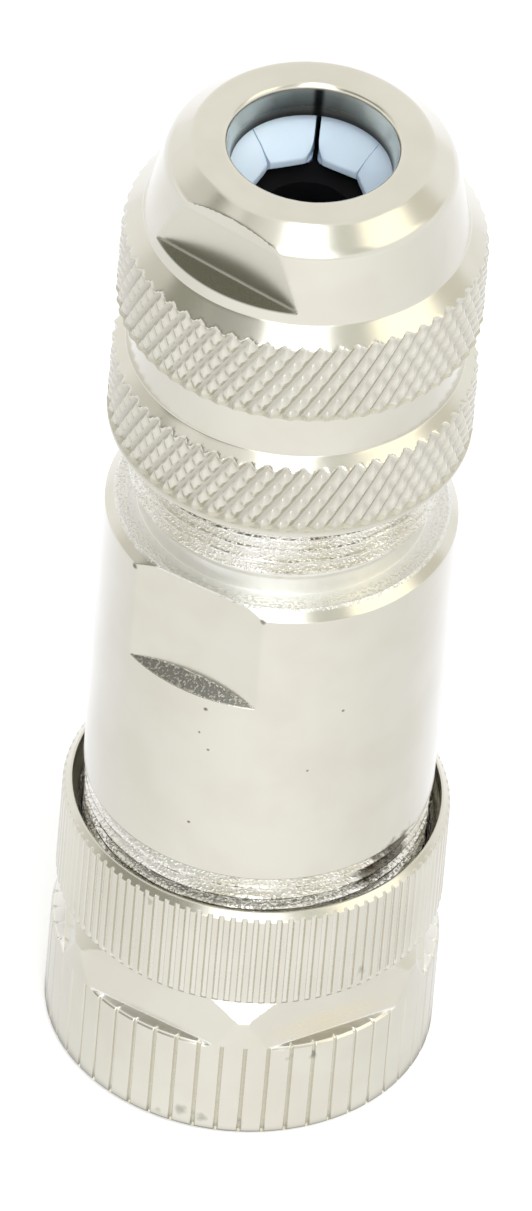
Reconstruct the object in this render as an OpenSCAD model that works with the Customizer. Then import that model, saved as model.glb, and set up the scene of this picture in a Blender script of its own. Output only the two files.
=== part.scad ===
// M12 cable connector, socket type, with screw terminals and a cable gland.
// The connector stands on its mating end: Z = 0 is the front of the coupling nut
// and +Z runs along the axis to the cable entry. All sizes are in millimetres.

/* [Mating face] */
// Nominal diameter of the coupling thread
mate_thread_d = 12; // [12:0.5:14]
// Pitch of the coupling thread
mate_pitch = 1; // [0.5:0.25:1.5]
// Gap between the coupling thread's core and the neck inside it
neck_gap = 0.5; // [0.4:0.05:0.8]
// Depth of the nose's face behind the front of the coupling nut
nose_setback = 0.8; // [0.4:0.1:1.5]
// Diameter of the circle that the contacts stand on
contact_circle_d = 5.3; // [5.1:0.1:5.5]
// Diameter of the mating pins
mate_pin_d = 1; // [0.8:0.05:1.1]
// Width of the coding keyway
key_w = 1.3; // [0.8:0.1:1.6]
// Depth of the coding keyway
key_deep = 0.6; // [0.4:0.05:0.7]
// Section diameter of the face seal
face_seal_d = 0.9; // [0.7:0.05:1]

/* [Coupling nut] */
// Step from the ring's knurl out to the nut's
nut_proud = 0.05; // [0:0.05:1]
// Height of the coupling nut
nut_h = 9; // [8.5:0.25:12]
// Depth of the hexagon's flats below the knurl
nut_flat_deep = 1.12; // [0.8:0.02:1.2]
// Direction of one flat, from the front
nut_flat_turn = 32; // [0:1:59]
// Height of the knurled part
nut_knurl_h = 6.1; // [4:0.1:7]
// Number of knurl teeth
nut_teeth = 52; // [36:1:60]
// Width of a knurl groove
nut_groove_w = 0.42; // [0.3:0.02:0.6]
// Depth of a knurl groove
nut_groove_deep = 0.3; // [0.2:0.02:0.4]
// Thickness of the wall behind the thread
nut_back = 2.1; // [1.5:0.1:2.6]
// Radial width of the bevel at the hexagon's top
nut_bevel_w = 1; // [0.4:0.05:1.1]
// Height of the bevel at the hexagon's top
nut_bevel_h = 1.25; // [0.8:0.05:1.6]
// Bevel round the foot of the knurl
nut_foot = 0.1; // [0.1:0.05:0.5]

/* [Carrier ring] */
// Wall of the ring outside the sleeve's thread
ring_wall = 1.05; // [0.9:0.05:2.5]
// Height of the ring
ring_h = 6.2; // [5.5:0.1:9]
// Number of fine knurl teeth
ring_teeth = 104; // [60:2:120]
// Depth of the fine knurl
ring_groove_deep = 0.24; // [0.15:0.01:0.3]
// Thickness of the floor that the insert sits on
ring_floor = 1.1; // [0.8:0.1:1.5]
// Depth of the recess at the mouth
mouth_deep = 1; // [0.8:0.1:1.4]
// Wall left outside the recess
mouth_wall = 0.48; // [0.4:0.02:0.5]
// Wall of the neck that carries the coupling nut
neck_wall = 0.7; // [0.6:0.02:0.8]
// Wire diameter of the ring that holds the coupling nut
snap_wire_d = 0.7; // [0.5:0.05:0.75]
// Bevel at the ring's top
ring_bevel = 0.38; // [0.2:0.02:0.45]

/* [Insert and terminals] */
// Thickness of the insert's flange
flange_h = 1; // [0.8:0.1:2]
// Section diameter of the seal between flange and sleeve
sleeve_seal_d = 0.8; // [0.6:0.05:0.9]
// Gap round the terminal block
block_gap = 0.4; // [0.2:0.05:0.6]
// Height of the terminal block
block_h = 6.2; // [5.8:0.1:9]
// Floor of the terminal block's chambers
block_floor = 1.2; // [0.8:0.1:1.5]
// Outer diameter of a contact's socket
socket_d = 1.7; // [1.5:0.05:1.8]
// Depth of a contact's pin bore
socket_deep = 6.2; // [4:0.1:8]
// Width of a contact head
head_w = 3; // [2.8:0.05:3.2]
// Inner reach of a contact head from the axis
head_in = 2.2; // [2.1:0.05:2.4]
// Wall of the terminal block outside a contact head
block_wall = 0.9; // [0.8:0.05:1.1]
// Height of a contact head
head_h = 4.2; // [3.8:0.1:4.6]
// Diameter of the wire hole
wire_d = 1.5; // [1:0.05:1.6]
// Diameter of a terminal screw
screw_d = 2; // [1.6:0.1:2.2]
// Length of a terminal screw
screw_len = 1.8; // [1.4:0.05:1.9]

/* [Body sleeve] */
// Diameter of the sleeve
sleeve_d = 18; // [17.6:0.1:22]
// Length from the lower end to the shoulder
sleeve_len = 23.36; // [20:0.02:40]
// Step from the sleeve in to its lower thread
lower_step = 0.15; // [0.05:0.05:0.3]
// Length of lower thread that shows above the ring
thread_show = 1.8; // [0.5:0.1:2.5]
// Wall of the sleeve round the wiring space
sleeve_wall = 1.7; // [1.6:0.05:1.9]
// Depth of the wrench flats
sleeve_flat_deep = 0.82; // [0.4:0.02:1]
// Length of the wrench flats
sleeve_flat_len = 6.05; // [4:0.05:8]
// Direction of one wrench flat, from the front
sleeve_flat_turn = -27; // [-60:1:60]
// Slope of the run-out under the wrench flats
sleeve_runout = 35; // [25:1:50]
// Bevel of the shoulder
shoulder_bevel = 0.55; // [0.3:0.05:0.8]
// Width of the shoulder, from the sleeve in to the upper thread
shoulder_w = 1; // [0.8:0.05:1.2]
// Depth of the undercut below the upper thread
undercut_deep = 0.58; // [0.45:0.01:0.65]
// Length of the undercut with its run-up
undercut_len = 1.65; // [1.2:0.05:2.5]
// Length of the threaded end above the shoulder
upper_end_len = 11.1; // [9.5:0.1:14]
// Wall of the gland end, from the upper thread in to the bore
upper_wall = 1.32; // [1.2:0.02:1.4]
// Height of the gland bore's floor above the shoulder
gland_floor = 2; // [1.8:0.1:3]
// Width of the gland bore's floor
gland_step = 1.28; // [1:0.02:2]
// Thickness of the gland bore's floor
gland_floor_h = 1.8; // [1.4:0.1:2.5]

/* [Gland parts] */
// Height of the shield ring
shield_ring_h = 1.6; // [1:0.1:2.5]
// Thickness of the shield iris
iris_h = 0.3; // [0.2:0.05:0.5]
// Number of iris leaves
iris_leaves = 12; // [6:1:16]
// Hole between the iris leaves
iris_hole = 6; // [5:0.1:7]
// Thickness of the thrust washer
washer_h = 0.9; // [0.6:0.1:1.5]
// Distance that the gland nut can be screwed down
clamp_travel = 3; // [1.5:0.25:4]
// Number of fingers of the clamping cage
fingers = 8; // [5:1:10]
// Direction of one slit, from the front
slit_turn = 178; // [135:1:180]
// Width of a slit
slit_w = 0.32; // [0.2:0.02:0.5]
// Hole between the finger tips
tip_hole = 5.2; // [4.8:0.1:6]
// Fall of the funnel from the tips' rim to their hole
funnel_fall = 1.8; // [1.2:0.1:2.4]
// Wall of the cage round the cable seal
cage_wall = 1.35; // [1.2:0.05:1.6]
// Cable hole in the seal
cable_hole = 4.6; // [4:0.1:4.7]

/* [Gland nut] */
// Wall of the gland nut, from its thread out to the diamond knurls
gland_wall = 1.25; // [1.1:0.05:2]
// Height of the gland nut's foot above the shoulder
gland_standoff = 5.4; // [4.5:0.1:6.5]
// Height of the gland nut
gland_h = 18.7; // [18:0.1:24]
// Height of the smooth lip at the foot
lip_h = 0.55; // [0.3:0.05:0.8]
// Height of the lower knurl
lower_knurl_h = 4.05; // [3:0.05:5]
// Height of the groove between the knurls
waist_h = 3.45; // [2:0.05:4]
// Depth of the groove between the knurls
waist_deep = 0.7; // [0.3:0.05:0.8]
// Height of the upper knurl
upper_knurl_h = 4.65; // [3:0.05:5.5]
// Number of knurl points round the nut
diamond_count = 62; // [40:2:80]
// Angle of the knurl lines to the axis
diamond_angle = 30; // [25:1:40]
// Depth of the diamond knurl
diamond_deep = 0.3; // [0.2:0.02:0.35]
// Step from the knurls in to the crown's lower edge
crown_low_in = 1.03; // [0.8:0.01:1.2]
// Step from the knurls in to the crown's upper edge
crown_top_in = 1.92; // [1.7:0.02:2.1]
// Step from the knurls in to the flat top
top_in = 3.25; // [2.8:0.05:3.6]
// Height of the bevel round the flat top
top_bevel_h = 1.13; // [0.5:0.01:1.3]
// Diameter of the cable hole at its narrow lower end
gland_mouth = 8.1; // [7.8:0.1:8.6]
// Slope of the cable hole's wall to the axis
mouth_taper = 8.5; // [0:0.5:12]
// Thickness of the top wall
top_wall = 2.1; // [1.6:0.1:2.5]
// Bevel at the rim of the cable hole
mouth_bevel = 0.06; // [0.02:0.02:0.2]
// Depth of the wrench flats below the knurls
gland_flat_deep = 2.5; // [2.2:0.02:2.6]
// Height of the flats' run-out below the top
gland_flat_drop = 3.03; // [2.5:0.01:3.4]
// Direction of one flat, from the front
gland_flat_turn = -33; // [-60:1:60]
// Slope of the run-out under the flats
gland_runout = 46; // [35:1:55]

/* [Threads and fits] */
// Pitch of the housing threads
pitch = 0.75; // [0.5:0.05:1]
// Radial clearance where one part turns or screws in another
turn_fit = 0.05; // [0.02:0.01:0.08]
// Radial clearance where one part slides in another
slide_fit = 0.08; // [0.04:0.01:0.1]
// Clearance between parts that are fixed together
seat_fit = 0.05; // [0.02:0.01:0.08]
// Clearance round a seal ring that lies in its place
seal_fit = 0.02; // [0.01:0.01:0.04]
// Clearance between the cage's fingers and the gland nut
finger_gap = 0.2; // [0.1:0.05:0.3]
// End play of a turning part
end_play = 0.1; // [0.05:0.05:0.15]

/* [Hidden] */
round = 96;
over = 0.2;

// Depth of a metric thread's flank, so that its core can be worked out
function thread_deep(p) = 0.5413 * p;

// Coupling nut and neck
mate_core_r = mate_thread_d / 2 - thread_deep(mate_pitch);
nut_wall_z = nut_h - nut_back;
neck_r = mate_core_r - neck_gap;
neck_bore_r = neck_r - neck_wall;
nose_r = neck_bore_r - seat_fit;
snap_mid_r = neck_r + 0.05;
snap_z = nut_wall_z - end_play / 2 - snap_wire_d / 2;
neck_z = snap_z - snap_wire_d / 2 - 0.25;
seal_groove_r = nose_r - 0.25;
nose_end_z = neck_z - face_seal_d - 2 * seal_fit;

// Sleeve and its threads, and from them the ring and the nut
sleeve_r = sleeve_d / 2;
sleeve_bore = sleeve_d - 2 * sleeve_wall;
lower_thread_r = sleeve_r - lower_step;
upper_thread_r = sleeve_r - shoulder_w;
undercut_r = upper_thread_r - undercut_deep;
gland_bore_r = upper_thread_r - upper_wall;
gland_hole = 2 * (gland_bore_r - gland_step);
ring_bore_r = lower_thread_r + turn_fit;
ring_r = ring_bore_r + ring_wall;
nut_r = ring_r + nut_proud;
groove_deep = thread_deep(pitch) - 0.05;

// Carrier ring
ring_z = nut_h + end_play;
ring_top = ring_z + ring_h;
flange_z = ring_z + ring_floor;
flange_top = flange_z + flange_h;
mouth_r = ring_r - mouth_wall;
sleeve_z = flange_top + sleeve_seal_d + 2 * seal_fit;
collar_z = ring_top + thread_show;
shoulder_z = sleeve_z + sleeve_len;
sleeve_top = shoulder_z + upper_end_len;
upper_thread_z = shoulder_z + undercut_len;
gland_floor_z = shoulder_z + gland_floor;

// Terminals
block_d = sleeve_bore - 2 * block_gap;
head_out = block_d / 2 - block_wall;
block_top = flange_top + block_h;
chamber_z = flange_top + block_floor;
wire_r = head_in + 0.75 + wire_d / 2;
screw_z = chamber_z + head_h * 0.55;
contact_angles = [45, 135, 225, 315];

// Gland parts
pack_r = gland_bore_r - slide_fit;
iris_z = gland_floor_z + shield_ring_h;
washer_z = iris_z + iris_h;
washer_top = washer_z + washer_h;
cage_z = washer_top + clamp_travel + end_play;

// Gland nut
gland_z = shoulder_z + gland_standoff;
gland_top = gland_z + gland_h;
gland_thread_r = upper_thread_r + turn_fit;
gland_r = gland_thread_r + gland_wall;
gland_thread_top = sleeve_top + clamp_travel + 0.3;
knurl_root_r = gland_r - diamond_deep;
knurl_core_r = knurl_root_r - 0.12;
lower_knurl_z = gland_z + lip_h;
waist_z = lower_knurl_z + lower_knurl_h;
upper_knurl_z = waist_z + waist_h;
upper_knurl_top = upper_knurl_z + upper_knurl_h;
crown_low_z = upper_knurl_top + crown_low_in;
crown_top_z = gland_top - top_bevel_h;
top_wall_z = gland_top - top_wall;

// Fingers: the bead snaps into the nut, and the cone above it runs up to the tips
lip_r = pack_r + finger_gap / 2;
bead_r = pack_r + 0.6;
bead_z = gland_thread_top + 0.55;
bead_h = 0.7;
finger_low_z = bead_z + bead_h + 0.15;
finger_low_r = pack_r + 0.15;
finger_top_z = top_wall_z - end_play;
finger_top_r = gland_mouth / 2 + 1.1;
finger_slope = (finger_low_r - finger_top_r) / (finger_top_z - finger_low_z);
cage_bore_r = pack_r - cage_wall;
seal_r = cage_bore_r - seat_fit;
tip_z = finger_top_z - funnel_fall;
tip_low_z = tip_z - 0.4;
seal_top_z = tip_low_z - 0.4;

// A solid of revolution about the axis, from its half outline
module turned(outline) {
    rotate_extrude($fn = round) polygon(outline);
}

// A ring of round section, such as an O-ring
module wire_ring(mid_r, wire_d, z) {
    translate([0, 0, z]) rotate_extrude($fn = round)
        translate([mid_r, 0]) circle(d = wire_d, $fn = 32);
}

// What two opposite wrench flats take away: everything outside the flats, above a cone
// whose surface is at height z where it meets the flats
module flat_pair(across, turn, z, slope, top, reach) {
    a = across / 2;
    difference() {
        rotate([0, 0, turn - 90]) for (side = [0, 180]) rotate([0, 0, side])
            translate([a, -reach, z - reach]) cube([reach, 2 * reach, top - z + reach]);
        translate([0, 0, z - 2 * reach]) cylinder(r = 3 * reach, h = reach, $fn = round);
        turned([[0, z - 1.5 * reach], [a + reach, z - 1.5 * reach], [a + reach, z - reach * tan(slope)],
                [0, z + a * tan(slope)]]);
    }
}

module coupling_nut() {
    r = nut_r;
    bevel_r = r - nut_bevel_w;
    color("gainsboro") difference() {
        turned([[mate_core_r, 0], [r - nut_foot, 0], [r, nut_foot], [r, nut_h - nut_bevel_h],
                [bevel_r, nut_h], [neck_r + turn_fit, nut_h], [neck_r + turn_fit, nut_wall_z],
                [mate_core_r, nut_wall_z]]);
        // hexagon above the knurl
        translate([0, 0, nut_knurl_h]) linear_extrude(nut_h) difference() {
            circle(r = r + over, $fn = round);
            rotate([0, 0, nut_flat_turn - 60]) circle(r = (r - nut_flat_deep) / cos(30), $fn = 6);
        }
        // knurl grooves
        for (i = [0 : nut_teeth - 1]) rotate([0, 0, (i + 0.5) * 360 / nut_teeth])
            translate([0, 0, nut_foot]) linear_extrude(nut_knurl_h - nut_foot + 0.04)
                polygon([[r - nut_groove_deep, 0], [r + over, -nut_groove_w / 2 - over / 3],
                         [r + over, nut_groove_w / 2 + over / 3]]);
        // lead-in of the thread
        translate([0, 0, -over]) cylinder(r1 = mate_thread_d / 2 + 2 * over, r2 = mate_core_r - over,
            h = mate_thread_d / 2 - mate_core_r + 3 * over, $fn = round);
    }
}

module nut_snap_ring() {
    gap = 1.2;
    color("silver") difference() {
        wire_ring(snap_mid_r, snap_wire_d, snap_z);
        translate([0, -gap / 2, snap_z - snap_wire_d]) cube([nut_r, gap, 2 * snap_wire_d]);
    }
}

module carrier_ring() {
    r = ring_r;
    color("gainsboro") difference() {
        union() {
            intersection() {
                turned([[neck_bore_r, ring_z], [r - 0.2, ring_z], [r, ring_z + 0.2],
                        [r, ring_top - ring_bevel], [r - ring_bevel, ring_top], [neck_bore_r, ring_top]]);
                // fine straight knurl
                translate([0, 0, ring_z - over]) linear_extrude(ring_h + 2 * over)
                    polygon([for (i = [0 : ring_teeth - 1], k = [0, 1, 2])
                        let (a = (i + [0, 0.3, 0.7][k]) * 360 / ring_teeth,
                             q = r - (k == 0 ? ring_groove_deep : 0)) [q * cos(a), q * sin(a)]]);
            }
            turned([[neck_bore_r, neck_z], [neck_r - 0.15, neck_z], [neck_r, neck_z + 0.15],
                    [neck_r, ring_z + over], [neck_bore_r, ring_z + over]]);
        }
        // seat of the insert, thread and recess at the mouth
        turned([[0, flange_z], [ring_bore_r, flange_z], [ring_bore_r, ring_top - mouth_deep - 0.3],
                [mouth_r, ring_top - mouth_deep], [mouth_r, ring_top + over], [0, ring_top + over]]);
        // groove of the snap ring
        wire_ring(snap_mid_r, snap_wire_d + 2 * seat_fit, snap_z);
    }
}

module contact_insert() {
    color("dimgray") difference() {
        turned([[0, nose_setback], [nose_r - 0.3, nose_setback], [nose_r, nose_setback + 0.3],
                [nose_r, nose_end_z], [seal_groove_r, nose_end_z], [seal_groove_r, neck_z],
                [nose_r, neck_z], [nose_r, flange_z],
                [ring_bore_r - 0.3, flange_z], [ring_bore_r - 0.3, flange_top], [0, flange_top]]);
        // coding keyway along the nose
        translate([-key_w / 2, nose_r - key_deep, nose_setback - over])
            cube([key_w, nose_r, nose_end_z - 0.3 - nose_setback + over]);
        for (a = contact_angles) rotate([0, 0, a]) translate([contact_circle_d / 2, 0, 0]) {
            translate([0, 0, nose_setback + 0.5])
                cylinder(d = socket_d + 2 * seat_fit, h = flange_top, $fn = 48);
            translate([0, 0, nose_setback - over]) cylinder(d = mate_pin_d + 0.3, h = 1, $fn = 48);
        }
    }
}

module face_seal() {
    color("black") wire_ring(seal_groove_r + face_seal_d / 2 + seal_fit, face_seal_d,
        neck_z - face_seal_d / 2 - seal_fit);
}

module terminal_block() {
    color("dimgray") difference() {
        translate([0, 0, flange_top]) cylinder(d = block_d, h = block_h, $fn = round);
        for (a = contact_angles) rotate([0, 0, a]) {
            translate([contact_circle_d / 2, 0, flange_top - over])
                cylinder(d = socket_d + 2 * seat_fit, h = block_floor + 2 * over, $fn = 48);
            translate([head_in - seat_fit, -head_w / 2 - seat_fit, chamber_z])
                cube([head_out - head_in + 2 * seat_fit, head_w + 2 * seat_fit, block_h]);
            translate([head_out, 0, screw_z]) rotate([0, 90, 0])
                cylinder(d = screw_d + 0.6, h = block_d, $fn = 48);
        }
    }
}

// A turned socket with an offset head, which is drilled for the wire and tapped for the screw
module contact(a) {
    socket_z = nose_setback + 0.5 + seat_fit;
    color("gold") rotate([0, 0, a]) difference() {
        union() {
            translate([contact_circle_d / 2, 0, socket_z])
                cylinder(d = socket_d, h = chamber_z - socket_z + over, $fn = 48);
            translate([head_in, -head_w / 2, chamber_z + seat_fit])
                cube([head_out - head_in, head_w, head_h]);
        }
        translate([contact_circle_d / 2, 0, socket_z - over])
            cylinder(d = mate_pin_d + 0.04, h = socket_deep + over, $fn = 48);
        translate([contact_circle_d / 2 - socket_d, -0.1, socket_z - over])
            cube([2 * socket_d, 0.2, socket_deep * 0.6 + over]);
        translate([wire_r, 0, chamber_z + 0.8]) cylinder(d = wire_d, h = head_h, $fn = 48);
        translate([wire_r, 0, screw_z]) rotate([0, 90, 0])
            cylinder(d = screw_d + 2 * turn_fit, h = head_out, $fn = 48);
    }
}

module terminal_screw(a) {
    color("silver") rotate([0, 0, a]) translate([wire_r + wire_d / 2 + 0.25, 0, screw_z])
        rotate([0, 90, 0]) difference() {
            rotate_extrude($fn = 48) polygon([[0, 0], [screw_d / 2 - 0.25, 0], [screw_d / 2, 0.25],
                [screw_d / 2, screw_len - 0.15], [screw_d / 2 - 0.15, screw_len], [0, screw_len]]);
            translate([-screw_d, -0.15, screw_len - 0.5]) cube([2 * screw_d, 0.3, 1]);
        }
}

module sleeve_seal() {
    color("black") wire_ring((sleeve_bore / 2 + lower_thread_r) / 2, sleeve_seal_d,
        flange_top + seal_fit + sleeve_seal_d / 2);
}

// The profile of the grooves that stand for a thread, from a crest at z0 to a crest at z1
function thread_grooves(r, z0, z1) = concat(
    [for (k = [0 : floor((z1 - z0 - 0.1) / pitch - 0.5)], q = [0, 1])
        [r - q * groove_deep, z0 + (k + q / 2) * pitch]], [[r, z1]]);

module body_sleeve() {
    bevel = (sleeve_r - lower_thread_r);
    flat_z = shoulder_z - sleeve_flat_len;
    color("gainsboro") difference() {
        turned([[sleeve_bore / 2, sleeve_z], [lower_thread_r - 0.3, sleeve_z],
                [lower_thread_r, sleeve_z + 0.3],
                each thread_grooves(lower_thread_r, ring_top - 0.65 * pitch, collar_z - bevel),
                [sleeve_r, collar_z],
                [sleeve_r, shoulder_z - shoulder_bevel], [sleeve_r - shoulder_bevel, shoulder_z],
                [undercut_r, shoulder_z], [undercut_r, upper_thread_z - undercut_deep],
                [upper_thread_r, upper_thread_z],
                each thread_grooves(upper_thread_r, upper_thread_z + 0.35 * pitch, gland_z + pitch),
                [upper_thread_r, sleeve_top - 0.5],
                [upper_thread_r - 0.5, sleeve_top], [gland_bore_r + 0.3, sleeve_top],
                [gland_bore_r, sleeve_top - 0.3], [gland_bore_r, gland_floor_z],
                [gland_hole / 2, gland_floor_z], [gland_hole / 2, gland_floor_z - gland_floor_h],
                [sleeve_bore / 2, gland_floor_z - gland_floor_h - (sleeve_bore - gland_hole) / 2]]);
        flat_pair(sleeve_d - 2 * sleeve_flat_deep, sleeve_flat_turn, flat_z, sleeve_runout,
            shoulder_z + over, sleeve_d);
    }
}

module shield_ring() {
    color("silver") turned([[gland_hole / 2, gland_floor_z], [pack_r, gland_floor_z], [pack_r, iris_z],
        [gland_hole / 2 + 0.7, iris_z], [gland_hole / 2, iris_z - 0.9]]);
}

module shield_iris() {
    leaf = 360 / iris_leaves;
    color("silver") translate([0, 0, iris_z]) difference() {
        cylinder(r = pack_r, h = iris_h, $fn = round);
        translate([0, 0, -over]) cylinder(d = iris_hole, h = iris_h + 2 * over, $fn = round);
        for (i = [0 : iris_leaves - 1]) rotate([0, 0, i * leaf])
            translate([0, -0.2, -over]) cube([gland_hole / 2 + 0.2, 0.4, iris_h + 2 * over]);
    }
}

module thrust_washer() {
    color("silver") turned([[gland_hole / 2, washer_z], [pack_r, washer_z], [pack_r, washer_top],
        [gland_hole / 2, washer_top]]);
}

module cable_seal() {
    color("#1a1a1c") turned([[cable_hole / 2, cage_z + 0.3], [seal_r, cage_z + 0.3],
        [seal_r, seal_top_z - 0.4], [seal_r - 0.4, seal_top_z], [cable_hole / 2, seal_top_z]]);
}

module clamping_cage() {
    slit_z = gland_thread_top - 1.5;
    color("#c8dae8") difference() {
        turned([[cage_bore_r, cage_z], [pack_r - 0.3, cage_z], [pack_r, cage_z + 0.3],
                [pack_r, bead_z - 0.15],
                [bead_r, bead_z + bead_h / 2 - 0.1], [bead_r, bead_z + bead_h / 2 + 0.1],
                [finger_low_r, finger_low_z], [finger_top_r, finger_top_z],
                [finger_top_r - 0.25, finger_top_z], [tip_hole / 2, tip_z], [tip_hole / 2, tip_low_z],
                [cage_bore_r, seal_top_z + 0.05]]);
        for (i = [0 : fingers - 1]) rotate([0, 0, slit_turn - 90 + i * 360 / fingers])
            translate([0, -slit_w / 2, slit_z]) cube([gland_r, slit_w, gland_h]);
    }
}

// A ring with a diamond knurl. Points and valleys alternate round each row, one row is turned
// against the next, and the lines between two valleys are the knurl's grooves. The first and
// last row lie on the bevels that end the knurl.
module diamond_knurl(z, h, bevel_rise) {
    cols = 2 * diamond_count;
    rows = round_to(h / (PI * gland_r / diamond_count / tan(diamond_angle)));
    inner_r = knurl_core_r - 0.1;
    function high(i, j) = (i + j) % 2 == 0;
    function at(i, r, zz) = [r * cos(i * 360 / cols), r * sin(i * 360 / cols), zz];
    wall = [for (j = [0 : rows], i = [0 : cols - 1])
        let (r = high(i, j) ? gland_r : knurl_root_r, drop = gland_r - r)
            at(i, r, z + h * j / rows + (j == 0 ? -drop : j == rows ? drop * bevel_rise : 0))];
    foot_z = z - diamond_deep - 0.1;
    head_z = z + h + (diamond_deep + 0.12) * bevel_rise;
    inside = [for (zz = [foot_z, head_z], i = [0 : cols - 1]) at(i, inner_r, zz)];
    n = (rows + 1) * cols;
    function k(i, j) = j * cols + i % cols;
    faces_wall = [for (j = [0 : rows - 1], i = [0 : cols - 1], side = [0, 1])
        high(i, j)
            ? (side == 0 ? [k(i, j), k(i, j + 1), k(i + 1, j)]
                         : [k(i + 1, j), k(i, j + 1), k(i + 1, j + 1)])
            : (side == 0 ? [k(i, j), k(i, j + 1), k(i + 1, j + 1)]
                         : [k(i, j), k(i + 1, j + 1), k(i + 1, j)])];
    faces_end = [for (i = [0 : cols - 1], f = [0 : 5])
        let (a = n + i, b = n + (i + 1) % cols, c = a + cols, d = b + cols)
            [[a, k(i, 0), k(i + 1, 0)], [a, k(i + 1, 0), b],
             [c, k(i + 1, rows), k(i, rows)], [c, d, k(i + 1, rows)],
             [a, b, d], [a, d, c]][f]];
    polyhedron(points = concat(wall, inside), faces = concat(faces_wall, faces_end), convexity = 4);
}

function round_to(x) = max(2, floor(x + 0.5));

module clamp_nut() {
    waist_r = gland_r - waist_deep;
    foot_r = gland_r - 0.04;
    mouth_r = gland_mouth / 2;
    waist_cone = (gland_r - waist_r) * 0.8;
    finger_r = function (z) finger_low_r - finger_slope * (z - finger_low_z) + finger_gap;
    color("gainsboro") difference() {
        union() {
            turned([[gland_thread_r, gland_z], [foot_r - 0.2, gland_z], [foot_r, gland_z + 0.2],
                    [foot_r, lower_knurl_z - 0.15], [knurl_core_r, lower_knurl_z],
                    [knurl_core_r, waist_z + waist_cone * 0.6], [waist_r, waist_z + waist_cone],
                    [waist_r, upper_knurl_z], [knurl_core_r, upper_knurl_z - 0.05],
                    [knurl_core_r, upper_knurl_top + gland_r - knurl_core_r],
                    [gland_r - crown_low_in, crown_low_z], [gland_r - crown_top_in, crown_top_z],
                    [gland_r - top_in, gland_top],
                    [mouth_r + (top_wall - mouth_bevel) * tan(mouth_taper) + mouth_bevel, gland_top],
                    [mouth_r + (top_wall - mouth_bevel) * tan(mouth_taper), gland_top - mouth_bevel],
                    [mouth_r, top_wall_z], [finger_r(finger_top_z), top_wall_z],
                    [finger_r(finger_top_z), finger_top_z], [finger_r(finger_low_z), finger_low_z],
                    [bead_r + finger_gap, bead_z + bead_h], [bead_r + finger_gap, bead_z - 0.1],
                    [lip_r, bead_z - 0.25], [lip_r, gland_thread_top], [gland_thread_r, gland_thread_top]]);
            diamond_knurl(lower_knurl_z + diamond_deep, lower_knurl_h - diamond_deep, 0.8);
            diamond_knurl(upper_knurl_z + diamond_deep, upper_knurl_h - diamond_deep, 1);
        }
        translate([0, 0, gland_z - over]) cylinder(r1 = gland_thread_r + 0.3 + over, r2 = gland_thread_r,
            h = 0.3 + over, $fn = round);
        flat_pair(2 * (gland_r - gland_flat_deep), gland_flat_turn, gland_top - gland_flat_drop,
            gland_runout, gland_top + over, 2 * gland_r);
    }
}

coupling_nut();
nut_snap_ring();
carrier_ring();
contact_insert();
face_seal();
terminal_block();
contact(contact_angles[0]);  // contact_1
contact(contact_angles[1]);  // contact_2
contact(contact_angles[2]);  // contact_3
contact(contact_angles[3]);  // contact_4
terminal_screw(contact_angles[0]);  // terminal_screw_1
terminal_screw(contact_angles[1]);  // terminal_screw_2
terminal_screw(contact_angles[2]);  // terminal_screw_3
terminal_screw(contact_angles[3]);  // terminal_screw_4
sleeve_seal();
body_sleeve();
shield_ring();
shield_iris();
thrust_washer();
cable_seal();
clamping_cage();
clamp_nut();
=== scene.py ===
"""Looks of a metal M12 cable connector that stands on its coupling nut, in metres."""

import math

import bpy
import numpy as np
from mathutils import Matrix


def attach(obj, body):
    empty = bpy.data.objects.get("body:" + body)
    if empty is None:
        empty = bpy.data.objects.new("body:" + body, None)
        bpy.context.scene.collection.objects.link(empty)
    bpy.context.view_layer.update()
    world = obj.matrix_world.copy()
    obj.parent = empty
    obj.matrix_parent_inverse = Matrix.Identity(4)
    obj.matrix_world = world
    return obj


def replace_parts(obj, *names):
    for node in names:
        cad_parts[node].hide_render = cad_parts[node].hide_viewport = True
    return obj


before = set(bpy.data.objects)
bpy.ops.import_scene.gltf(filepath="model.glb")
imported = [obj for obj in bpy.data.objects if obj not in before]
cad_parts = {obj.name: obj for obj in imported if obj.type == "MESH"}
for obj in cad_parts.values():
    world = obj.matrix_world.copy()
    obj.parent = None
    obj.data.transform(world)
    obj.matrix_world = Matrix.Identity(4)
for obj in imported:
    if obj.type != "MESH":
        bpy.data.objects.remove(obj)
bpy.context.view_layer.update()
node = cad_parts
mm = 0.001
front = -90.0


# --- Coupling nut ---------------------------------------------------------------------
# Turned from brass bar, with a hexagon milled above a straight pressed knurl, and nickel
# plated. Its M12 thread pulls the connector onto the plug.


def outline(corners):
    """Closed outline in millimetres, counterclockwise with r to the right.

    Each corner is (r, z, rounding, rows): a parabola that leaves and meets its two sides at
    `rounding` from the corner, and then `rows` equal steps to the next corner.
    """
    c = np.array(corners, float)
    points = []
    for here, behind, ahead in zip(c, np.roll(c, 1, 0), np.roll(c, -1, 0)):
        back = (behind - here)[:2] / np.linalg.norm((behind - here)[:2])
        onward = (ahead - here)[:2] / np.linalg.norm((ahead - here)[:2])
        s = np.linspace(0, 1, 7 if here[2] else 1)[:, None]
        start, end = here[:2] + back * here[2], here[:2] + onward * here[2]
        points.append((1 - s) ** 2 * start + 2 * s * (1 - s) * here[:2] + s**2 * end)
        stop = ahead[:2] - onward * ahead[2]
        steps = np.arange(1, int(here[3]))[:, None] / here[3]
        points.append(end + (stop - end) * steps)
    r, z = np.concatenate(points).T
    return r, z


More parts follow.
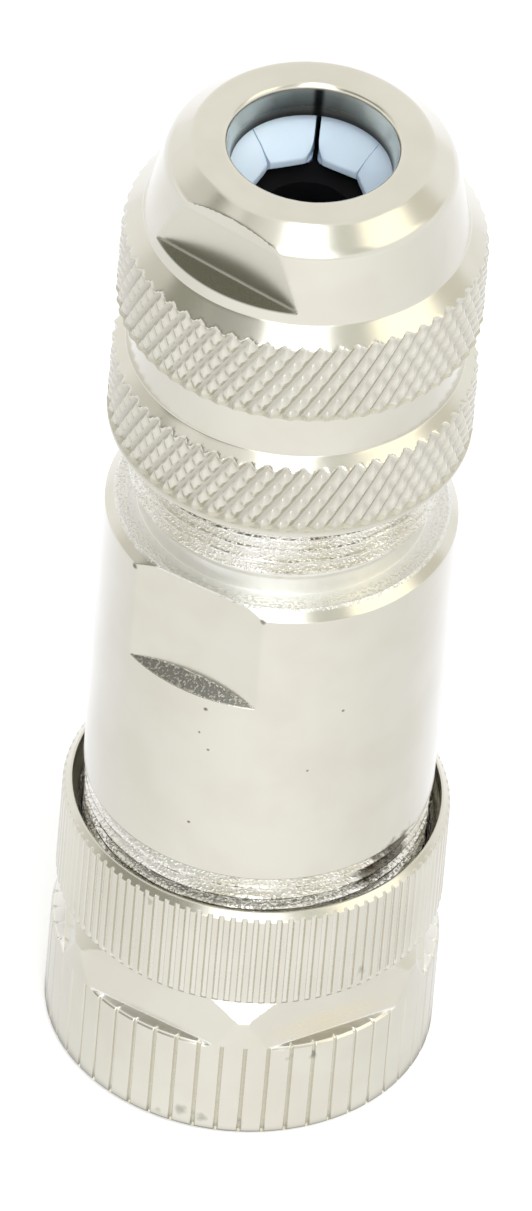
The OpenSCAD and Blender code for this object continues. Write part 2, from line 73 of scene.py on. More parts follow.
def turned(name, rz, degrees, cut, body, finish, carved=99.0, marks=None):
    """A closed turned form with relief, on a grid of outline rows and angle columns.

    The point in row j and column i has height z(j), angle a(i) and radius cut(r(j), z(j), a(i)),
    which is r itself where nothing is cut away. Each cell's two triangles part along the
    diagonal whose middle lies nearer to the cut surface. The attribute `relief` is r - radius
    below the height `carved`, and each entry in `marks` adds an attribute f(r, z, a).
    """
    r, z = (v[:, None] for v in rz)
    a = np.asarray(degrees, float)[None, :]
    radius = np.broadcast_to(cut(r, z, a), (r.size, a.size))
    turn = np.radians(a)
    grid = np.stack([radius * np.cos(turn), radius * np.sin(turn), z + 0 * radius], -1) * mm
    rows, columns = radius.shape
    j, i = np.meshgrid(np.arange(rows), np.arange(columns), indexing="ij")
    here, right = j * columns + i, j * columns + (i + 1) % columns
    above = (j + 1) % rows * columns + i
    across = (j + 1) % rows * columns + (i + 1) % columns
    to_right = (np.roll(a, -1) - a) % 360
    middle = cut((r + np.roll(r, -1)) / 2, (z + np.roll(z, -1)) / 2, a + to_right / 2)
    flat = radius.ravel()
    rising_off = np.abs((flat[here] + flat[across]) / 2 - middle)
    falling = np.abs((flat[right] + flat[above]) / 2 - middle) < rising_off - 1e-6
    first = np.where(falling[..., None], np.stack([here, right, above], -1),
                     np.stack([here, right, across], -1))
    second = np.where(falling[..., None], np.stack([right, across, above], -1),
                      np.stack([here, across, above], -1))
    faces = np.concatenate([first.reshape(-1, 3), second.reshape(-1, 3)])
    mesh = bpy.data.meshes.new(name)
    mesh.from_pydata(grid.reshape(-1, 3), [], faces.tolist())
    attributes = {"relief": lambda r, z, a: (r - radius) * (z < carved), **(marks or {})}
    for key, value in attributes.items():
        layer = mesh.attributes.new(key, "FLOAT", "POINT")
        values = (value(r, z, a) + 0 * radius).astype(np.float32)
        layer.data.foreach_set("value", values.ravel())
    mesh.shade_smooth()
    mesh.set_sharp_from_angle(angle=math.radians(19))
    mesh.materials.append(finish)
    piece = bpy.data.objects.new(name, mesh)
    bpy.context.scene.collection.objects.link(piece)
    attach(piece, body)
    return piece


class Flow:
    """Wraps a shader socket, so that an expression on values adds its Math nodes."""

    def __init__(self, socket):
        self.socket = socket

    def add(self, kind, settings, sockets, output=0):
        """Adds a node: its settings first, then a value or a link for each socket."""
        made = self.socket.id_data.nodes.new("ShaderNode" + kind)
        for key, value in settings.items():
            setattr(made, key, value)
        for key, value in sockets.items():
            if isinstance(value, Flow):
                self.socket.id_data.links.new(value.socket, made.inputs[key])
            else:
                made.inputs[key].default_value = value
        return Flow(made.outputs[output])

    def math(self, operation, *values):
        return self.add("Math", {"operation": operation}, dict(enumerate((self, *values))))

    def __add__(self, other):
        return self.math("ADD", other)

    def __sub__(self, other):
        return self.math("SUBTRACT", other)

    def __mul__(self, other):
        return self.math("MULTIPLY", other)

    def __truediv__(self, other):
        return self.math("DIVIDE", other)

    def __rsub__(self, other):
        return (self * -1).math("ADD", other)

    def between(self, low, high):
        """0 at low, 1 at high and a smooth S between them."""
        return self.add("MapRange", {"interpolation_type": "SMOOTHSTEP"},
                        {"Value": self, "From Min": low, "From Max": high})

    def noise(self, scale, detail=2.0):
        """Noise between 0 and 1 at these coordinates, with `scale` cells to the metre."""
        return self.add("TexNoise", {}, {"Vector": self, "Scale": scale, "Detail": detail})

    def blend(self, low, high):
        """The colour `low` where this value is 0, and `high` where it is 1."""
        return self.add("Mix", {"data_type": "RGBA"}, {0: self, 6: low, 7: high}, output=2)

    def bump(self, strength, distance):
        """The normal of a surface that this height raises, by `distance` metres at 1."""
        return self.add("Bump", {}, {"Height": self, "Strength": strength, "Distance": distance})

    def into(self, shader, name):
        self.socket.id_data.links.new(self.socket, shader.inputs[name])


def material(name, **constants):
    """A Principled material with constant sockets set, its shader and its Object place."""
    made = bpy.data.materials.new(name)
    made.use_nodes = True
    shader = made.node_tree.nodes["Principled BSDF"]
    for key, value in constants.items():
        shader.inputs[key.replace("_", " ")].default_value = value
    place = made.node_tree.nodes.new("ShaderNodeTexCoord")
    return made, shader, Flow(place.outputs["Object"])


def nickel(name, roughness=0.16, lines=0.5, grain=0.3, stains=(), torn=0.0,
           plate=(0.745, 0.725, 0.64, 1), painted_groove_tone=(0.88, 0.87, 0.82, 1), areas=None):
    """Nickel plate on turned brass: fine turning lines, a faint grain and cloudy patches.

    Lines are noise along z + r, so they run round cylinders, cones and faces alike. Cuts are
    a little duller, and deeper relief takes the groove tone: painted light where it is lighter
    than the plate, and painted shade where it is darker. `torn` grains catch the light. Each
    stain is (degrees, r, z, size, darkness). Each area is an attribute with its tone, how much
    duller it is and its own torn grains; the notes where areas are given say which are painted.
    """
    made, shader, place = material(name, Metallic=1.0)
    x, y, z = (place.add("SeparateXYZ", {}, {0: place}, output=k) for k in range(3))
    radius = (x * x + y * y).math("SQRT")
    along = place.add("CombineXYZ", {}, {0: z + radius})
    turning = along.noise(9000, 3)
    cloud = place.noise(260, 3)
    fleck = place.noise(5200, 2)
    grains = place.noise(6500, 2).between(0.48, 0.7)
    cut = place.add("Attribute", {"attribute_name": "relief"}, {}, output="Fac")
    depth = cut.between(0.03, 0.3)
    tone = cloud.between(0.35, 0.7).blend(plate, (0.715, 0.69, 0.60, 1))
    # Painted tone in groove bottoms: a lighter one is painted light, a darker one painted shade.
    tone = (depth * 0.6).blend(tone, painted_groove_tone)
    for degrees, r, height, size, dark in stains:
        turn = math.radians(degrees + front)
        centre = (r * mm * math.cos(turn), r * mm * math.sin(turn), height * mm)
        away = place.add("VectorMath", {"operation": "DISTANCE"}, {0: place, 1: centre},
                         output="Value")
        wobble = away + (place.noise(2600, 2) - 0.5) * (size * 0.9 * mm)
        mark = (1 - wobble.between(size * 0.35 * mm, size * mm)) * dark
        tone = mark.blend(tone, (0.10, 0.085, 0.06, 1))
    rough = cloud * 0.08 + fleck * 0.06 + depth * 0.12 + (roughness - 0.07)
    height = turning * lines + fleck * grain + grains * torn
    for key, (shade, duller, torn_here) in (areas or {}).items():
        inside = place.add("Attribute", {"attribute_name": key}, {}, output="Fac")
        tone = (inside * (1 - grains * (0.5 if torn_here else 0))).blend(tone, shade)
        rough = rough + inside * duller
        height = height + inside * grains * torn_here
    tone.into(shader, "Base Color")
    rough.into(shader, "Roughness")
    height.bump(0.5, 3e-6).into(shader, "Normal")
    return made


nut_r, nut_step, nut_bevel, nut_high, nut_bore_r = 10.0, 6.1, 7.9, 9.0, 5.01
nut_flat, nut_flat_degrees, nut_lean = 8.76, front + 32, 0.5
nut_teeth, groove_half, groove_deep = 52, 0.14, 0.17
lip_high, lip_deep, foot_high = 0.22, 0.2, 0.25
thread_core_r, thread_r, thread_low, thread_high = 5.459, 6.0, 0.6, 6.9
tooth = 360 / nut_teeth
half_tooth = np.array([0, 0.04, 0.08, 0.11, 0.14, 0.18, 0.26, 0.38, 0.5])
other_half = np.pi * 2 * nut_r / nut_teeth - half_tooth[:0:-1]
across_tooth = np.degrees(np.concatenate([half_tooth, other_half]) / nut_r)
nut_degrees = (np.arange(nut_teeth)[:, None] + 0.5) * tooth + across_tooth[None, :]


def hexagon(a, flat_degrees, apothem):
    """Radius of a hexagon: apothem over the cosine of the angle from the nearest flat."""
    from_flat = (a - flat_degrees + 30) % 60 - 30
    return apothem / np.cos(np.radians(from_flat))


def nut_cut(r, z, a):
    """V grooves with rounded lips below the step, and the hexagon above it.

    The flats lean in a little towards the top. Each land ends in a lip that is rounded as
    far as the flat cuts in behind it.
    """
    from_groove = np.abs((a / tooth) % 1 - 0.5) * tooth * np.pi / 180 * nut_r
    s = np.clip(from_groove / groove_half, 0, 1)
    grooved = nut_r - groove_deep * (1 - s * s * (3 - 2 * s))
    lean = nut_lean * np.clip((nut_bevel - z) / (nut_bevel - nut_step), 0, 1)
    across = hexagon(a, nut_flat_degrees, nut_flat + lean)
    lip = (np.clip((z - nut_step + lip_high) / lip_high, 0, 1) ** 2 * lip_deep
           * np.clip((nut_r - across) / lip_deep, 0, 1))
    land = np.where(z > foot_high, grooved - lip, nut_r)
    return np.minimum(r, np.where(z < nut_step, land, across))


nut_rz = outline([
    (9.7, 0, 0.02, 1), (nut_r, 0.3, 0.08, 10), (nut_r, 5.86, 0, 5),
    (nut_r, nut_step - 0.02, 0, 1), (nut_r, nut_step + 0.02, 0, 16), (nut_r, 7.75, 0.15, 18),
    (9.0, nut_high, 0.06, 10), (nut_bore_r, nut_high, 0.05, 2), (nut_bore_r, thread_high, 0, 2),
    (thread_r + 0.05, thread_high, 0, 6), (thread_r + 0.05, thread_low, 0, 2), (6.6, 0, 0.05, 6)])
nut_metal = nickel("nickel_nut", 0.22, stains=[
    (-14, 9.8, 1.2, 0.5, 0.4), (-8, 9.8, 1.0, 0.45, 0.38), (-21, 9.85, 0.7, 0.3, 0.25),
    (16, 9.8, 5.3, 0.3, 0.3), (24, 9.8, 5.2, 0.35, 0.35), (4, 9.8, 0.9, 0.3, 0.2)],
    # The shelf's light tone is a painted highlight, and the grooves' light tone is painted light.
    areas={
        "shelf": ((0.95, 0.94, 0.90, 1), 0.1, 0), "aged": ((0.77, 0.70, 0.52, 1), 0.1, 0)})


def nut_shelf_highlight(r, z, a):
    """1 on the shelf that the hexagon's flats leave on top of the knurl, for a painted highlight.
    """
    across = hexagon(a, nut_flat_degrees, nut_flat + nut_lean)
    return (np.abs(z - nut_step) < 0.03) & (across < 9.95)


def nut_aged(r, z, a):
    """A soft yellowed spot on one flat: a bell curve in height and in angle."""
    beside = (a - front - 30 + 180) % 360 - 180
    return 0.7 * np.exp(-((z - 6.7) / 0.45) ** 2 - (beside / 17) ** 2)


nut = turned("coupling_nut_metal", nut_rz, nut_degrees.ravel(), nut_cut, "coupling_nut",
             nut_metal, nut_step, {"shelf": nut_shelf_highlight, "aged": nut_aged})
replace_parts(nut, "coupling_nut")


def thread(name, core, crest, low, high, pitch, body, finish, inside=False, mark=0.0):
    """A helical thread as a closed ring: radius = root + depth x ramp, rising with the turn.

    The ramp is 0 over the root's quarter pitch and 1 over the crest's eighth, and rises in
    between along the 60 degree flank. The tool leaves a small ridge, `mark` high, along the
    root. At both ends the ridge grows over 0.4 mm.
    """
    rows = int((high - low) / pitch * (16 if mark else 10))
    inner, outer = (crest, crest + 0.25) if inside else (core - 0.25, crest)
    wall = [(inner, low, 0, 1), (outer, low, 0, 1 if inside else rows), (outer, high, 0, 1),
            (inner, high, 0, rows if inside else 1)]

    def ridged(r, z, a):
        from_root = np.abs((z / pitch - a / 360) % 1 - 0.5)
        ramp = np.clip((from_root - 0.125) / 0.3125, 0, 1)
        ramp = ramp + mark * np.exp(-((from_root / 0.08) ** 2))
        end = np.minimum(np.clip((z - low) / 0.4, 0, 1), np.clip((high - z) / 0.4, 0, 1))
        if inside:
            return np.where(r < crest + 0.1, crest - (crest - core) * (1 - ramp) * end, r)
        return np.where(r > core, core + (crest - core) * ramp * end, r)

    ring = turned(name, outline(wall), np.arange(0, 360, 2.5), ridged, body, finish)
    return ring


thread_metal = nickel("nickel_thread", 0.14, lines=1.5, grain=1.5, torn=30.0,
                      plate=(0.93, 0.92, 0.89, 1), painted_groove_tone=(0.95, 0.94, 0.90, 1))
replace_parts(thread("coupling_nut_thread", thread_core_r, thread_r, 0.5, 6.85, 1.0,
                   "coupling_nut", thread_metal, inside=True), "coupling_nut")


# --- Carrier ring ---------------------------------------------------------------------
# Nickel plated brass with a fine straight knurl. Its neck goes into the coupling nut, and
# its threaded mouth takes the sleeve.

ring_r, ring_low, ring_high, ring_teeth, ring_deep = 9.95, 9.1, 15.3, 104, 0.15
mouth_r, mouth_low, mouth_high = 9.15, 10.2, 14.0
neck_low, neck_r, neck_groove_r, neck_bore_r = 5.9, 4.96, 4.62, 4.26
ring_tooth = 360 / ring_teeth
across_ring_tooth = np.array([
    0, 0.15, 0.18, 0.21, 0.24, 0.27, 0.3, 0.5, 0.7, 0.73, 0.76, 0.79, 0.82, 0.85])
ring_degrees = (np.arange(ring_teeth)[:, None] + across_ring_tooth[None, :]) * ring_tooth


def ring_cut(r, z, a):
    """Grooves round the outside with flat bottoms and steep sides, centred on whole teeth."""
    s = np.clip((np.abs((a / ring_tooth + 0.5) % 1 - 0.5) - 0.15) / 0.15, 0, 1)
    return np.where(r > 9.5, np.minimum(r, ring_r - ring_deep * (1 - s * s * (3 - 2 * s))), r)


ring_rz = outline([
    (9.75, ring_low, 0.03, 1), (ring_r, 9.3, 0.05, 12), (ring_r, 14.9, 0.1, 5),
    (9.57, ring_high, 0.04, 1), (9.46, ring_high, 0.04, 4), (9.46, 14.3, 0.05, 2),
    (mouth_r, mouth_high, 0, 2), (mouth_r, mouth_low, 0, 2), (neck_bore_r, mouth_low, 0, 2),
    (neck_bore_r, neck_low, 0, 1), (4.8, neck_low, 0, 1), (neck_r, 6.05, 0, 1),
    (neck_r, 6.12, 0, 1), (neck_groove_r, 6.2, 0, 1), (neck_groove_r, 6.8, 0, 1),
    (neck_r, 6.88, 0, 2), (neck_r, ring_low, 0, 4)])
# Painted shade darkens the ring's underside; its grooves take the light painted groove tone.
ring_metal = nickel(
    "nickel_ring", 0.22, stains=[(-30, 9.9, 14.6, 0.3, 0.3), (38, 9.9, 10.2, 0.35, 0.25)],
    areas={"underside_shade": ((0.22, 0.22, 0.20, 1), 0.1, 0)})
ring = turned("carrier_ring_metal", ring_rz, ring_degrees.ravel(), ring_cut, "carrier",
              ring_metal, marks={"underside_shade": lambda r, z, a: (z < 9.24) & (r > 9.5)})
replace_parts(ring, "carrier_ring")
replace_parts(thread("carrier_ring_thread", 8.9, 9.2, 10.4, 13.9, 0.75, "carrier",
                   thread_metal, inside=True), "carrier_ring")


# --- Snap ring ------------------------------------------------------------------------
# Bright spring wire, bent round and sprung into the neck's groove.


def clouded(name, scale, patches, spread, roughness, grain=None, **constants):
    """A material with soft patches between two colours: roughness = noise x spread + least.

    `grain` is the scale, detail, strength and height in metres of its fine bumps.
    """
    made, shader, place = material(name, **constants)
    patch = place.noise(scale, 3)
    patch.blend(*patches).into(shader, "Base Color")
    (patch * spread + roughness).into(shader, "Roughness")
    if grain:
        grain_scale, detail, strength, distance = grain
        place.noise(grain_scale, detail).bump(strength, distance).into(shader, "Normal")
    return made


def dress(names, finish):
    """Gives CAD nodes that keep their own shape this finish."""
    for name in names:
        node[name].data.materials.clear()
        node[name].data.materials.append(finish)


steel = clouded("bright_steel", 900, ((0.62, 0.62, 0.61, 1), (0.55, 0.55, 0.54, 1)), 0.15, 0.2,
                (14000, 2, 0.4, 2e-6), Metallic=1.0)
dress(["nut_snap_ring"], steel)


# --- Insert and terminals -------------------------------------------------------------
# The insert and the terminal block are moulded in black plastic. The four contacts are
# turned from brass and gold plated, each with a steel screw that clamps its wire.

moulded = clouded(
    "black_moulding", 700, ((0.016, 0.016, 0.018, 1), (0.026, 0.026, 0.028, 1)), 0.2, 0.42,
    (9000, 2, 0.5, 4e-6), Specular_IOR_Level=0.4)
dress(["contact_insert", "terminal_block"], moulded)

gold = clouded("gold_plate", 1200, ((0.80, 0.58, 0.25, 1), (0.70, 0.48, 0.19, 1)), 0.12, 0.2,
               Metallic=1.0)
dress([f"contact_{n}" for n in (1, 2, 3, 4)], gold)
dress([f"terminal_screw_{n}" for n in (1, 2, 3, 4)], steel)


# --- Seal rings -----------------------------------------------------------------------
# Moulded in black rubber: one ring round the nose, one between the insert's flange and the
# sleeve, and the bush inside the cage that closes round the cable.

rubber = clouded(
    "black_rubber", 1500, ((0.004, 0.004, 0.005, 1), (0.009, 0.009, 0.010, 1)), 0.2, 0.65,
    (7000, 3, 0.5, 8e-6), Specular_IOR_Level=0.12)
dress(["face_seal", "sleeve_seal", "cable_seal"], rubber)


# --- Body sleeve ----------------------------------------------------------------------
# Turned from brass bar and nickel plated, with two milled flats for a spanner below the
# shoulder. Its lower thread goes into the ring, and its upper one takes the gland nut.

sleeve_r, sleeve_flat, sleeve_flat_degrees = 9.0, 8.18, front - 27
sleeve_low, collar, shoulder, seat, sleeve_top = 12.04, 17.1, 35.4, 37.4, 46.5
lower_thread, lower_core, upper_thread, upper_core, undercut_r = 8.85, 8.35, 8.0, 7.6, 7.42
flat_foot, flat_slope = 29.35, 35
wire_room_r, braid_r, cage_bore_r = 7.3, 5.4, 6.68


def flats(a, apothem, flat_degrees):
    """Radius of two opposite flats: apothem over the cosine of the angle from their middles."""
    from_flat = (a - flat_degrees + 90) % 180 - 90
    return apothem / np.cos(np.radians(np.clip(from_flat, -80, 80)))


def softly(r, m, k=0.02):
    """The smaller of r and m with a soft edge: -k log(exp(-r / k) + exp(-m / k)) in mm."""
    return np.minimum(r, m) - k * np.log1p(np.exp(-np.abs(r - m) / k))


def run_out(z):
    """Radius of the cone in which the flats end: apothem at the foot, and wider below it."""
    return sleeve_flat + (flat_foot - z) / math.tan(math.radians(flat_slope))


def sleeve_cut(r, z, a):
    """The smaller of r and (the larger of the flats and the cone), with soft edges."""
    return softly(r, np.maximum(flats(a, sleeve_flat, sleeve_flat_degrees), run_out(z)))


def sleeve_milled_shade(r, z, a):
    """1 on the cone between the flats and the round, painted dark as painted shade."""
    ramp = run_out(z)
    beside_flats = ramp > flats(a, sleeve_flat, sleeve_flat_degrees) - 0.01
    return (beside_flats & (ramp < r - 0.01)) * 1.0


def sleeve_undercut(r, z, a):
    """Most of 1 in the groove between the shoulder and the upper thread."""
    return 0.85 * ((z > shoulder - 0.1) & (z < 37.2) & (r > 7) & (r < 7.9))


def sleeve_torn(r, z, a):
    """Some torn metal on the collar's edge and on the shoulder."""
    return 0.6 * ((z < collar - 0.02) | ((z > shoulder - 0.1) & (z < 36) & (r > 7.5)))


def columns(step, fine, apothem, r, flat_degrees):
    """Even columns, and close ones over the two flats, from edge to edge where they meet r."""
    reach = math.degrees(math.acos(apothem / r))
    close = np.linspace(-reach, reach, round(2 * reach / fine) + 1)
    even = np.arange(0, 360, step)
    beside = even[np.abs((even - flat_degrees + 90) % 180 - 90) > reach + 0.1]
    return np.sort(np.concatenate([beside, flat_degrees + close, flat_degrees + 180 + close]) % 360)


sleeve_rz = outline([
    (lower_core, sleeve_low, 0.05, 6), (lower_core, 16.45, 0, 2), (8.8, 16.9, 0.1, 2),
    (sleeve_r, collar, 0.05, 30), (sleeve_r, 28.6, 0, 16), (sleeve_r, 29.5, 0, 16),
    (sleeve_r, shoulder - 0.55, 0.05, 8), (sleeve_r - 0.55, shoulder, 0.04, 4),
    (undercut_r, shoulder, 0.05, 3), (undercut_r, 36.45, 0.1, 2), (upper_core, 36.8, 0, 6),
    (upper_core, sleeve_top - 0.3, 0, 1), (7.5, sleeve_top, 0.03, 3), (6.98, sleeve_top, 0.05, 1),
    (cage_bore_r, sleeve_top - 0.3, 0, 4), (cage_bore_r, seat, 0, 2), (braid_r, seat, 0.05, 2),
    (braid_r, 35.6, 0, 3), (wire_room_r, 33.7, 0, 6), (wire_room_r, sleeve_low, 0, 2)])
# The milled cone's dark tone is painted shade; its dullness and torn grains are real.
sleeve_metal = nickel("nickel_sleeve", 0.16, lines=0.35, grain=0.25, areas={
    "milled": ((0.22, 0.215, 0.19, 1), 0.2, 14), "undercut": ((0.91, 0.905, 0.87, 1), 0.25, 0),
    "torn_collar": ((0.85, 0.85, 0.83, 1), 0.1, 30)}, stains=[
    (46, 8.8, 16.2, 1.0, 0.8), (52, 8.8, 16.5, 1.1, 0.85), (60, 8.8, 16.7, 1.0, 0.8),
    (-19, 9, 28.1, 0.16, 0.8), (-20.5, 9, 26.4, 0.11, 0.8), (-17, 9, 25.4, 0.1, 0.7),
    (-21.5, 9, 20.1, 0.12, 0.8), (26.5, 9, 28.4, 0.12, 0.7), (16, 9, 24.6, 0.1, 0.6),
    (-52.5, 9, 34.7, 0.25, 0.8), (-2.8, 9, 34.8, 0.22, 0.7)])
sleeve_degrees = columns(1.25, 0.5, sleeve_flat, sleeve_r, sleeve_flat_degrees)
sleeve = turned(
    "body_sleeve_metal", sleeve_rz, sleeve_degrees, sleeve_cut, "sleeve", sleeve_metal, 0.0,
    {"milled": sleeve_milled_shade, "undercut": sleeve_undercut, "torn_collar": sleeve_torn})
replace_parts(sleeve, "body_sleeve")
worn_metal = nickel(
    "nickel_worn_thread", 0.14, lines=1.5, grain=1.5, torn=30.0, plate=(0.93, 0.92, 0.89, 1),
    stains=[(44, 8.7, 15.6, 1.0, 0.85), (50, 8.7, 15.9, 1.3, 0.9), (58, 8.7, 16.2, 1.2, 0.85)])
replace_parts(thread("sleeve_lower_thread", 8.4, lower_thread, 12.2, 17.0, 0.75, "sleeve",
                   worn_metal, mark=0.3), "body_sleeve")
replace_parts(thread("sleeve_upper_thread", 7.55, upper_thread, 36.85, 46.4, 0.75, "sleeve",
                   thread_metal, mark=0.5), "body_sleeve")


# --- Shield parts ---------------------------------------------------------------------
# A turned ring, a slotted spring disc and a washer, stacked in the sleeve under the cage.

dress(["shield_ring", "shield_iris", "thrust_washer"], steel)


# --- Clamping cage --------------------------------------------------------------------
# Moulded in pale blue plastic: a ring with eight fingers, whose hooked tips close in on
# the cable when the gland nut is tightened.

fingers, first_slit = 8, front + 178
cage_r, cage_bore, cage_low, finger_low, finger_high = 6.6, 5.26, 43.3, 48.2, 57.3
tip_flat, tip_low = 2.9, 54.9

cage_blue = clouded(
    "pale_blue_moulding", 450, ((0.62, 0.75, 0.87, 1), (0.68, 0.80, 0.92, 1)), 0.12, 0.3,
    (3500, 2, 0.4, 6e-6), Specular_IOR_Level=0.5, Subsurface_Weight=0.15,
    Subsurface_Scale=0.001)

cage_rz = outline([
    (6.3, cage_low, 0.05, 1), (cage_r, 43.6, 0.05, 4), (cage_r, finger_low + 0.3, 0, 2),
    (cage_bore, finger_low + 0.3, 0, 4), (cage_bore, cage_low, 0.05, 2)])
cage = turned("cage_ring", cage_rz, np.arange(0, 360, 3), lambda r, z, a: r, "cable_clamp",
              cage_blue)
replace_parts(cage, "clamping_cage")

finger_rz = outline([
    (cage_r, finger_low, 0.05, 4), (cage_r, 50.2, 0.05, 2), (7.2, 50.6, 0.1, 1),
    (7.2, 50.8, 0.1, 1), (6.75, 51.2, 0.1, 8), (5.15, finger_high, 0.08, 1),
    (4.9, finger_high, 0.08, 12), (2.91, 55.7, 0.1, 2), (tip_flat, 55.25, 0.12, 4),
    (cage_bore, 54.75, 0.1, 8), (cage_bore, finger_low, 0.05, 2)])


def finger(name, rz, middle, width, gaps):
    """One finger: the closed outline swept over its width about the axis, and both sides
    closed by fans from their middle points.

    Its side at u = -1 or 1 keeps half a gap from the slit's middle, and 0.8 mm of it more at
    the tip, where the hole's edge is a straight chord: r rises by apothem (1 / cos - 1).
    """
    r, z = (v[:, None] for v in rz)
    u = np.linspace(-1, 1, 13)[None, :]
    at_tip = np.clip((3.8 - r) / 0.9, 0, 1) * (z > tip_low)
    radius = r + at_tip * tip_flat * (1 / np.cos(np.radians(u * width / 2)) - 1)
    gap = np.where(u < 0, gaps[0], gaps[1]) * (0.5 + 0.9 * at_tip ** 2)
    turn = np.radians(middle + u * width / 2) - np.sign(u) * np.abs(u) ** 3 * gap / radius
    wall = np.stack([radius * np.cos(turn), radius * np.sin(turn), z + 0 * turn], -1)
    rows, steps = turn.shape
    middles = wall[:, [0, -1]].mean(0)
    points = np.concatenate([wall.reshape(-1, 3), middles]) * mm
    j, i = np.meshgrid(np.arange(rows), np.arange(steps - 1), indexing="ij")
    up = (j + 1) % rows * steps + i
    quads = np.stack([j * steps + i, j * steps + i + 1, up + 1, up], -1).reshape(-1, 4)
    k = np.arange(rows)
    after = (k + 1) % rows
    near = np.stack([k * steps, after * steps, np.full(rows, rows * steps)], -1)
    far = np.stack([after * steps + steps - 1, k * steps + steps - 1,
                    np.full(rows, rows * steps + 1)], -1)
    mesh = bpy.data.meshes.new(name)
    mesh.from_pydata(points, [], quads.tolist() + near.tolist() + far.tolist())
    mesh.shade_smooth()
    mesh.set_sharp_from_angle(angle=math.radians(35))
    mesh.materials.append(cage_blue)
    piece = bpy.data.objects.new(name, mesh)
    bpy.context.scene.collection.objects.link(piece)
    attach(piece, "cable_clamp")
    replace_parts(piece, "clamping_cage")


slits = [0.26, 0.07, 0.1, 0.1, 0.1, 0.1, 0.1, 0.04, 0.26]
for number in range(fingers):
    finger(f"cage_finger_{number + 1}", finger_rz, first_slit + (number + 0.5) * 360 / fingers,
           360 / fingers, slits[number:number + 2])


# --- Gland nut ------------------------------------------------------------------------
# Turned from brass bar and nickel plated. Two bands carry a pressed diamond knurl, and the
# tapered crown has two milled flats round the cable hole.

gland_r, gland_low, gland_high = 9.3, 40.8, 59.5
diamonds, diamond_deep, diamond_fine = 62, 0.25, 10
diamond_rise = 2 * np.pi * gland_r / diamonds / math.tan(math.radians(30))
gland_flat, gland_flat_degrees, gland_ledge = 6.8, front - 33, 55.15
gland_bore_r, gland_stop = 8.3, 49.8
lower_band, upper_band = (41.4, 45.4), (48.95, 53.5)


def diamond(z, a, start):
    """Rounded pyramids between two families of grooves, the left-leaning one shallower.

    u and v count the grooves that lean left and right. The depth falls off with a smooth S
    over the distance to the nearer groove, and is less over the lowest 0.1 mm.
    """
    u = diamonds * a / 360 + (z - start) / diamond_rise
    v = diamonds * a / 360 - (z - start) / diamond_rise
    from_u, from_v = np.abs(u - np.round(u)), np.abs(v - np.round(v))
    near_u, near_v = (np.clip(1 - away / 0.46, 0, 1) for away in (from_u, from_v))
    groove = np.maximum(near_v ** 2 * (3 - 2 * near_v), 0.66 * near_u ** 2 * (3 - 2 * near_u))
    return gland_r - diamond_deep * groove * np.clip((z - start) / 0.15 + 0.45, 0, 1)


def gland_cut(r, z, a):
    """The two knurled bands, and above the ledge the two flats with soft edges."""
    knurled = np.full(np.broadcast_shapes(r.shape, a.shape), 99.0)
    for low, high in (lower_band, upper_band):
        here = (z > low - 0.02) & (z < high + 0.7) & (r > 8.65)
        knurled = np.where(here, diamond(z, a, low), knurled)
    m = np.where(z > gland_ledge, flats(a, gland_flat, gland_flat_degrees), 99.0)
    m = m + 0.12 * np.clip(1 - (z - gland_ledge) / 0.14, 0, 1) ** 2
    return np.minimum(knurled, softly(r, m))


def band_rows(low, high):
    """Rows at every tenth of a diamond's rise, so that grooves run through grid points."""
    heights = np.arange(low, high, diamond_rise / diamond_fine)
    return [(gland_r, height, 0, 1) for height in heights]


gland_rz = outline([
    (9.0, gland_low, 0.05, 1), (9.27, 41.05, 0.06, 1), (9.27, 41.37, 0, 1),
    *band_rows(*lower_band), (gland_r, lower_band[1], 0, 5), (8.6, 45.96, 0.06, 4),
    (8.6, 48.75, 0.04, 3), (9.2, 48.93, 0, 1), *band_rows(*upper_band),
    (gland_r, upper_band[1], 0, 10), (8.27, 54.5, 0.08, 5), (8.127, gland_ledge - 0.02, 0, 1),
    (8.118, gland_ledge + 0.01, 0, 1), (8.115, gland_ledge + 0.03, 0, 1),
    (8.107, gland_ledge + 0.06, 0, 1), (8.098, gland_ledge + 0.1, 0, 1),
    (8.086, gland_ledge + 0.15, 0, 30), (7.38, 58.37, 0.35, 16), (6.05, gland_high, 0.22, 5),
    (4.37, gland_high, 0.4, 8), (4.08, 57.6, 0.04, 1), (5.35, 57.42, 0, 3), (6.95, 51.2, 0, 1),
    (7.4, 51.05, 0, 1), (7.4, 50.25, 0, 1), (6.7, 50.1, 0, 1), (6.7, gland_stop, 0, 1),
    (gland_bore_r, gland_stop, 0, 4), (gland_bore_r, 41.1, 0, 1), (8.45, gland_low, 0.03, 1)])
# Painted shade: dark groove tone, ledge, hole wall and pits; the slit stripe: painted reflection.
gland_metal = nickel(
    "nickel_gland", 0.18, lines=0.5, grain=0.25, painted_groove_tone=(0.45, 0.43, 0.36, 1), areas={
        "flat": ((0.73, 0.71, 0.62, 1), 0.14, 0), "ledge": ((0.25, 0.245, 0.20, 1), 0.1, 0),
        "mouth": ((0.08, 0.075, 0.07, 1), 0.3, 0), "pit": ((0.67, 0.65, 0.56, 1), 0.5, 0),
        "slit_shade": ((0.02, 0.02, 0.02, 1), 0.0, 0)})


def cut_flat(r, a):
    """True where the flats cut the crown."""
    return flats(a, gland_flat, gland_flat_degrees) < r - 0.03


def gland_ledge_shade(r, z, a):
    """Painted shade on the ledge's edge where the flats cut, and half of it just above."""
    above = 0.5 * (np.abs(z - gland_ledge - 0.07) < 0.04)
    return cut_flat(r, a) * (1.0 * (np.abs(z - gland_ledge) < 0.025) + above)


def gland_pit_shade(r, z, a):
    """1 round the foot of each band, where the grooves end, for a touch of painted shade."""
    return (np.abs(z - lower_band[0]) < 0.18) | (np.abs(z - upper_band[0]) < 0.18)


